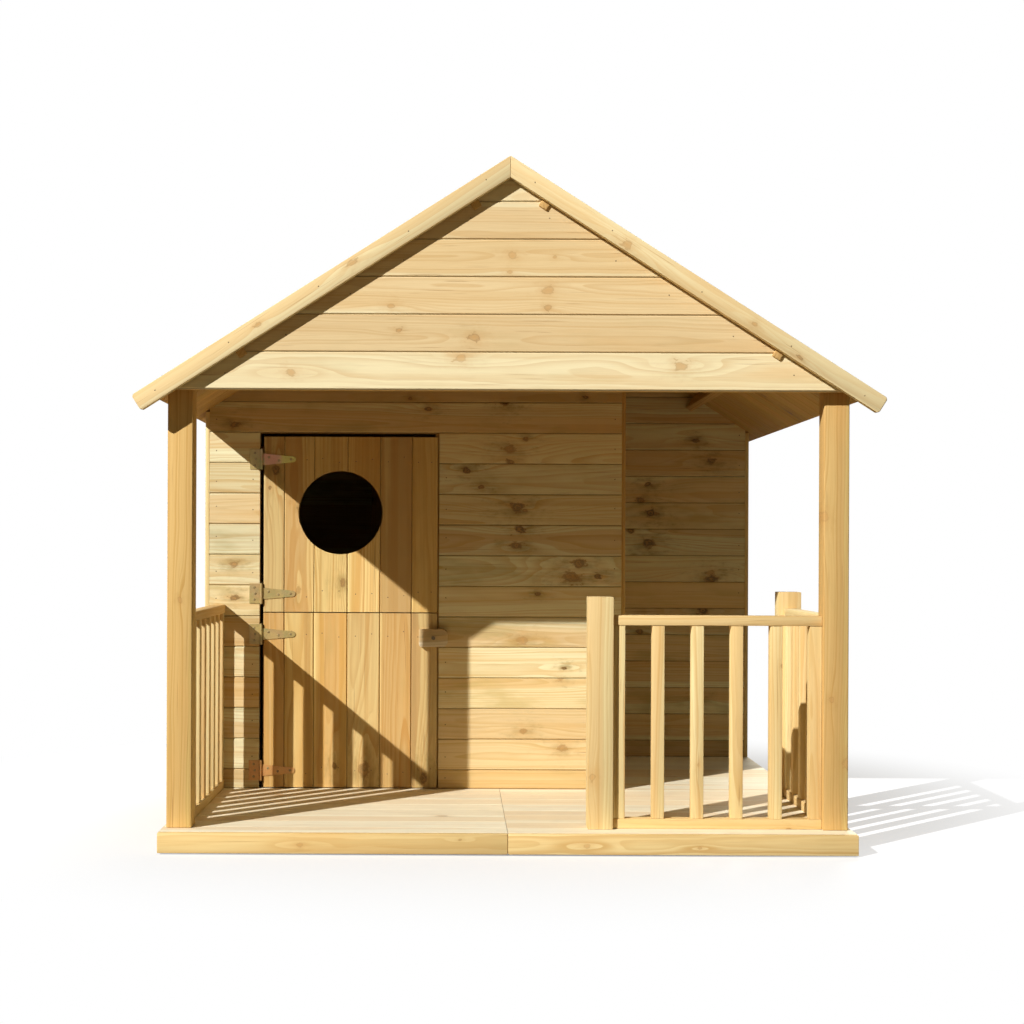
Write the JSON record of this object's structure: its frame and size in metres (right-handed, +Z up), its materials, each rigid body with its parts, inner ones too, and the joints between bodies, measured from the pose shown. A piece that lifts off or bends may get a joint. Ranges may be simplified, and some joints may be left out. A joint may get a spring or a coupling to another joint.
{
  "type": "wooden playhouse",
  "caption": "Wooden playhouse with a pitched roof, an L-shaped railed porch under the front gable and a stable door with a round window.",
  "frame": {"origin": "on the ground under the middle of the roof, halfway between the front edge of the floor and the face of the rear bargeboards", "axes": "+Z up, -Y out of the front gable, +X to the right seen from the front"},
  "size_m": [1.8626, 2.05, 1.7168],
  "materials": {
    "wall_boards": "planed tongue and groove softwood with V joints",
    "gable_boards": "planed tongue and groove softwood with V joints",
    "door_boards": "planed tongue and groove softwood with V joints",
    "floor_boards": "planed softwood floor boards",
    "roof_boards": "planed softwood boards",
    "planed_timber": "planed softwood with eased edges",
    "framing_timber": "sawn softwood battens",
    "weathered_wood": "grey-brown weathered wood",
    "hinge_metal": "zinc plated steel, dull, with brassy tints",
    "screw_metal": "zinc plated steel"
  },
  "bodies": {
    "house": {"floor_boards_left": "floor_boards", "floor_boards_right": "floor_boards", "floor_frame_left": "framing_timber", "floor_frame_right": "framing_timber", "front_balusters": "planed_timber", "front_bargeboard_left": "planed_timber", "front_bargeboard_right": "planed_timber", "front_fascia_left": "planed_timber", "front_fascia_right": "planed_timber", "front_gable_cladding": "gable_boards", "front_gable_frame": "framing_timber", "front_handrail": "planed_timber", "front_left_corner_trim": "planed_timber", "front_newel": "planed_timber", "front_right_corner_trim": "planed_timber", "front_wall_cladding": "wall_boards", "front_wall_frame": "framing_timber", "hinge_crossplate_lower_bottom": "hinge_metal", "hinge_crossplate_lower_top": "hinge_metal", "hinge_crossplate_upper_bottom": "hinge_metal", "hinge_crossplate_upper_top": "hinge_metal", "hinge_pin_lower_bottom": "screw_metal", "hinge_pin_lower_top": "screw_metal", "hinge_pin_upper_bottom": "screw_metal", "hinge_pin_upper_top": "screw_metal", "inner_wall_cladding": "wall_boards", "inner_wall_frame": "framing_timber", "left_balusters": "planed_timber", "left_handrail": "planed_timber", "left_post": "planed_timber", "left_wall_cladding": "wall_boards", "left_wall_frame": "framing_timber", "rear_bargeboard_left": "planed_timber", "rear_bargeboard_right": "planed_timber", "rear_wall_cladding": "wall_boards", "rear_wall_frame": "framing_timber", "recess_corner_trim": "planed_timber", "recess_frame": "framing_timber", "recess_wall_cladding": "wall_boards", "right_post": "planed_timber", "right_wall_cladding": "wall_boards", "roof_batten_lower_left": "framing_timber", "roof_batten_lower_right": "framing_timber", "roof_batten_upper_left": "framing_timber", "roof_batten_upper_right": "framing_timber", "roof_boards_left": "roof_boards", "roof_boards_right": "roof_boards", "side_balusters": "planed_timber", "side_handrail": "planed_timber", "side_newel": "planed_timber"},
    "upper_leaf": {"upper_door_boards": "door_boards", "upper_door_battens": "framing_timber", "hinge_strap_upper_top": "hinge_metal", "hinge_strap_upper_bottom": "hinge_metal"},
    "lower_leaf": {"lower_door_boards": "door_boards", "lower_door_battens": "framing_timber", "hinge_strap_lower_top": "hinge_metal", "hinge_strap_lower_bottom": "hinge_metal", "turn_button_screw": "screw_metal"},
    "button": {"turn_button": "weathered_wood"}
  },
  "joints": [
    {"name": "upper_door_hinge", "type": "hinge", "parent": "house", "child": "upper_leaf", "pos_m": [-0.6955, -0.2575, 0.8145], "axis": [0, 0, -1], "range_deg": [0, 95]},
    {"name": "lower_door_hinge", "type": "hinge", "parent": "house", "child": "lower_leaf", "pos_m": [-0.6955, -0.2575, 0.303], "axis": [0, 0, -1], "range_deg": [0, 95]},
    {"name": "turn_button_pivot", "type": "hinge", "parent": "lower_leaf", "child": "button", "pos_m": [-0.194, -0.2625, 0.49246], "axis": [0, 1, 0], "continuous": true}
  ]
}
